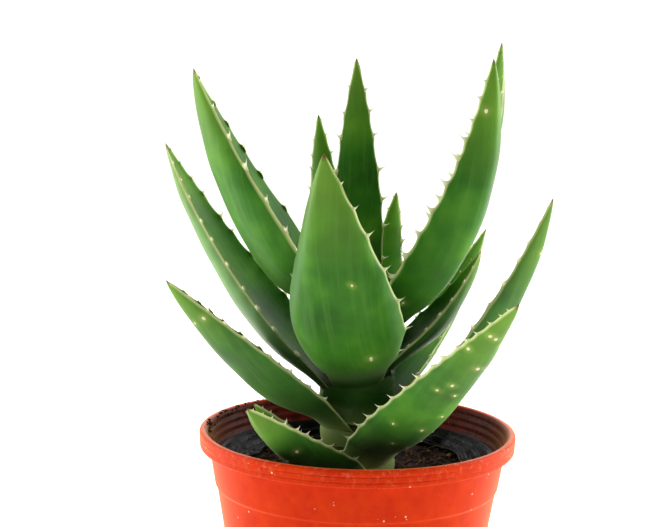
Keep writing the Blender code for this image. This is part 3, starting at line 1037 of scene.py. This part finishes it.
# %% [markdown]
# ## Soil
# A plain disc with a bumpy finish would look like cloth at this distance. The surface is therefore
# raised into real lumps, and loose crumbs, bark chips and root fibres are strewn over it, a few of
# them along the rim, where potting leaves them.

# %% Lumpy surface
soil_outline = read_outline("potting_soil")
SOIL_EDGE = soil_outline[soil_outline[:, 1] > soil_outline[:, 1].max() - 1e-5][0]


def soil_height(radius):
    """Height of the plain soil surface at a distance from the stem."""
    near_top = [row for row in soil_outline if row[1] > SOIL_EDGE[1] - 8 * MM]
    rows = [row for row in near_top if row[0] > stem_radius - 2 * MM]
    rows = sorted(rows, key=lambda row: row[0])
    return float(np.interp(radius, [row[0] for row in rows], [row[1] for row in rows]))


def lumpy(point):
    """Lifts the soil's top by clods about 9 mm and crumbs about 3 mm across."""
    if point.z < SOIL_EDGE[1] - 8 * MM:
        return point
    lift = 1.6 * MM * noise.noise(point * 110.0) + 0.8 * MM * noise.noise(point * 330.0)
    return point + Vector((0, 0, lift + 0.3 * MM))


soil = spun("soil_bed", finer(soil_outline, 1.2 * MM), 220, peat, lumpy)
attach(soil, "potting_soil", "potting_soil")
print("soil surface at, mm:", round(1000 * SOIL_EDGE[1], 1), "faces:", len(soil.data.polygons))

# %% Crumbs, chips and fibres
chance = np.random.default_rng(7)
lump = bmesh.new()
bmesh.ops.create_icosphere(lump, subdivisions=1, radius=1.0)
LUMP_POINTS = np.array([vert.co for vert in lump.verts])
LUMP_FACES = [tuple(vert.index for vert in face.verts) for face in lump.faces]
lump.free()
CRUMBS = 1500
RIM_CRUMBS = 110
FIBRES = 90
points, faces, tones = [], [], []


def strew(middle, size, long, tone):
    """Adds one rough crumb or chip; long stretches it along one level direction."""
    turn = chance.uniform(0, math.tau)
    spread = np.array([math.cos(turn), math.sin(turn), chance.uniform(-0.4, 0.4)])
    rough = LUMP_POINTS * chance.uniform(0.6, 1.15, (len(LUMP_POINTS), 1)) * (1, 1, 0.7)
    rough = rough + np.outer(rough @ spread, spread) * (long - 1)
    first = len(points)
    points.extend(middle + rough * size)
    faces.extend(tuple(first + corner for corner in face) for face in LUMP_FACES)
    tones.extend([tone] * len(LUMP_POINTS))


for _ in range(CRUMBS):
    turn = chance.uniform(0, math.tau)
    out = math.sqrt(chance.uniform((stem_radius + 0.5 * MM) ** 2, (SOIL_EDGE[0] - 1.0 * MM) ** 2))
    size = 0.35 * MM + 1.3 * MM * chance.beta(1.2, 4.0)
    where = np.array([out * math.cos(turn), out * math.sin(turn), soil_height(out) + 0.9 * MM])
    strew(where, size, chance.uniform(1.0, 2.6), chance.normal(0.10, 0.16))
for _ in range(RIM_CRUMBS):
    turn = chance.uniform(math.radians(100), math.radians(185))
    out = mouth_radius + chance.uniform(-2.2, 0.6) * MM
    drop = max(0.0, mouth_radius - out) * chance.uniform(0.8, 1.5)
    where = np.array([out * math.cos(turn), out * math.sin(turn), rim.z - drop])
    strew(where, chance.uniform(0.25, 0.75) * MM, chance.uniform(1.0, 1.8), chance.normal(0.05, 0.10))
for _ in range(FIBRES):
    turn = chance.uniform(0, math.tau)
    out = math.sqrt(chance.uniform((stem_radius + 2 * MM) ** 2, (SOIL_EDGE[0] - 4 * MM) ** 2))
    heading = chance.uniform(0, math.tau)
    bend = chance.uniform(-1.6, 1.6)
    length = chance.uniform(4, 13) * MM
    thick = chance.uniform(0.10, 0.24) * MM
    steps = 9
    middle = np.array([out * math.cos(turn), out * math.sin(turn), soil_height(out) + 1.3 * MM])
    first = len(points)
    for step in range(steps + 1):
        share = step / steps
        angle = heading + bend * share
        side = np.array([-math.sin(angle), math.cos(angle), 0.0])
        wide = thick * (1 - 0.6 * share)
        arch = math.sin(math.pi * share) * 1.6 * MM
        for around in (0, 1, 2, 3):
            a = around * math.pi / 2
            lift = np.array([0, 0, wide * math.sin(a) + arch])
            points.append(middle + side * wide * math.cos(a) + lift)
        middle = middle + np.array([math.cos(angle), math.sin(angle), 0.0]) * length / steps
    faces.extend(tuple(first + i for i in face) for face in rings_to_faces(steps + 1, 4))
    tones.extend([chance.uniform(0.25, 0.50)] * (4 * (steps + 1)))

mesh = bpy.data.meshes.new("soil_crumbs")
mesh.from_pydata(points, [], faces)
mesh.attributes.new("tone", "FLOAT", "POINT").data.foreach_set("value", np.array(tones, dtype=np.float32))
mesh.materials.append(peat)
attach(placed("soil_crumbs", mesh), "potting_soil")
print(CRUMBS + RIM_CRUMBS, "crumbs and", FIBRES, "fibres,", len(mesh.polygons), "faces")

# %% [markdown]
# ## Film collar
# The black inner pot ends in a loose collar that folds in over the soil. It is a thin sheet, so it
# is made as one: a grid from the inner pot's top edge down to the soil, ribbed, wrinkled, with an
# uneven inner edge, and given its thickness by a Solidify modifier.

# %% Collar over the soil
liner_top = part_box("inner_pot")[1]
COLLAR_TURNS = 240
COLLAR_ROWS = 26
mesh = bpy.data.meshes.new("film_collar")
points = []
for row in range(COLLAR_ROWS):
    t = row / (COLLAR_ROWS - 1)
    for step in range(COLLAR_TURNS):
        turn = math.tau * step / COLLAR_TURNS
        ring_place = Vector((math.cos(turn), math.sin(turn), 0.0))
        ragged = noise.noise(ring_place * 2.3 + Vector((5, 0, 0)))
        inner = liner_top.x - (11.0 + 6.0 * ragged) * MM
        out = liner_top.x - 0.4 * MM + (inner - liner_top.x) * t
        fall = (liner_top.z - soil_height(out) - 1.4 * MM) * min(1.0, t / 0.55) ** 0.8
        ribs = 0.55 * MM * math.sin(math.tau * (3.6 * t + 0.35 * noise.noise(ring_place * 1.7)))
        folds = 1.1 * MM * noise.noise(Vector((ring_place.x * 9, ring_place.y * 9, t * 1.6)))
        free = min(1.0, 4 * t)
        height = liner_top.z + 0.3 * MM - fall + free * (ribs + folds)
        points.append((out * ring_place.x, out * ring_place.y, height))
mesh.from_pydata(points, [], rings_to_faces(COLLAR_ROWS, COLLAR_TURNS))
mesh.shade_smooth()
mesh.materials.append(polythene)
collar = placed("film_collar", mesh)
sheet = collar.modifiers.new("film", "SOLIDIFY")
sheet.thickness = 0.25 * MM
sheet.offset = 0.0
attach(collar, "liner_black_plastic")
print("collar of", len(mesh.polygons), "faces")

# %% [markdown]
# ## Stem
# The short stem is hidden by the leaves' sheaths, except near the soil. It is yellow-green, with
# thin brown rings where older leaves dried and came away. Its shape in the model is right, so it
# keeps that and gets only its finish.

# %% Stem skin: corky, ringed by old leaf scars
stem_skin, tree, shader = new_material("stem_with_leaf_scars", IOR=1.42, Roughness=0.62)
place = node(tree, "ShaderNodeTexCoord").outputs["Object"]
height = node(tree, "ShaderNodeSeparateXYZ", {0: place}).outputs[2]
uneven = node(
    tree, "ShaderNodeTexNoise", {"Vector": place, "Scale": 220.0, "Detail": 4.0}
).outputs["Fac"]
# one scar every 4 mm up the stem
turns = node(
    tree, "ShaderNodeMath", {0: height, 1: math.tau / (4.4 * MM)}, operation="MULTIPLY"
).outputs[0]
waved = node(tree, "ShaderNodeMath", {0: uneven, 1: 4.0, 2: turns}, operation="MULTIPLY_ADD")
scars = node(tree, "ShaderNodeMath", {0: waved.outputs[0]}, operation="SINE")
scar = node(
    tree,
    "ShaderNodeMapRange",
    {"Value": scars.outputs[0], "From Min": 0.70, "From Max": 0.98, "To Max": 0.55},
).outputs[0]
colour = linear("#8E9C45")
layers = [
    (uneven, linear("#5E7A28")),
    (scar, linear("#5A4320")),
]
for amount, paint in layers:
    mixed = {0: amount, 6: colour, 7: paint}
    colour = node(tree, "ShaderNodeMix", mixed, data_type="RGBA").outputs[2]
tree.links.new(colour, shader.inputs["Base Color"])
bump = node(tree, "ShaderNodeBump", {"Height": scars.outputs[0], "Strength": 0.5, "Distance": 0.3 * MM})
tree.links.new(bump.outputs[0], shader.inputs["Normal"])
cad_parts["stem"].data.materials.clear()
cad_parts["stem"].data.materials.append(stem_skin)
print("stem, mm high:", round(1000 * (stem_box[1].z - stem_box[0].z), 1))
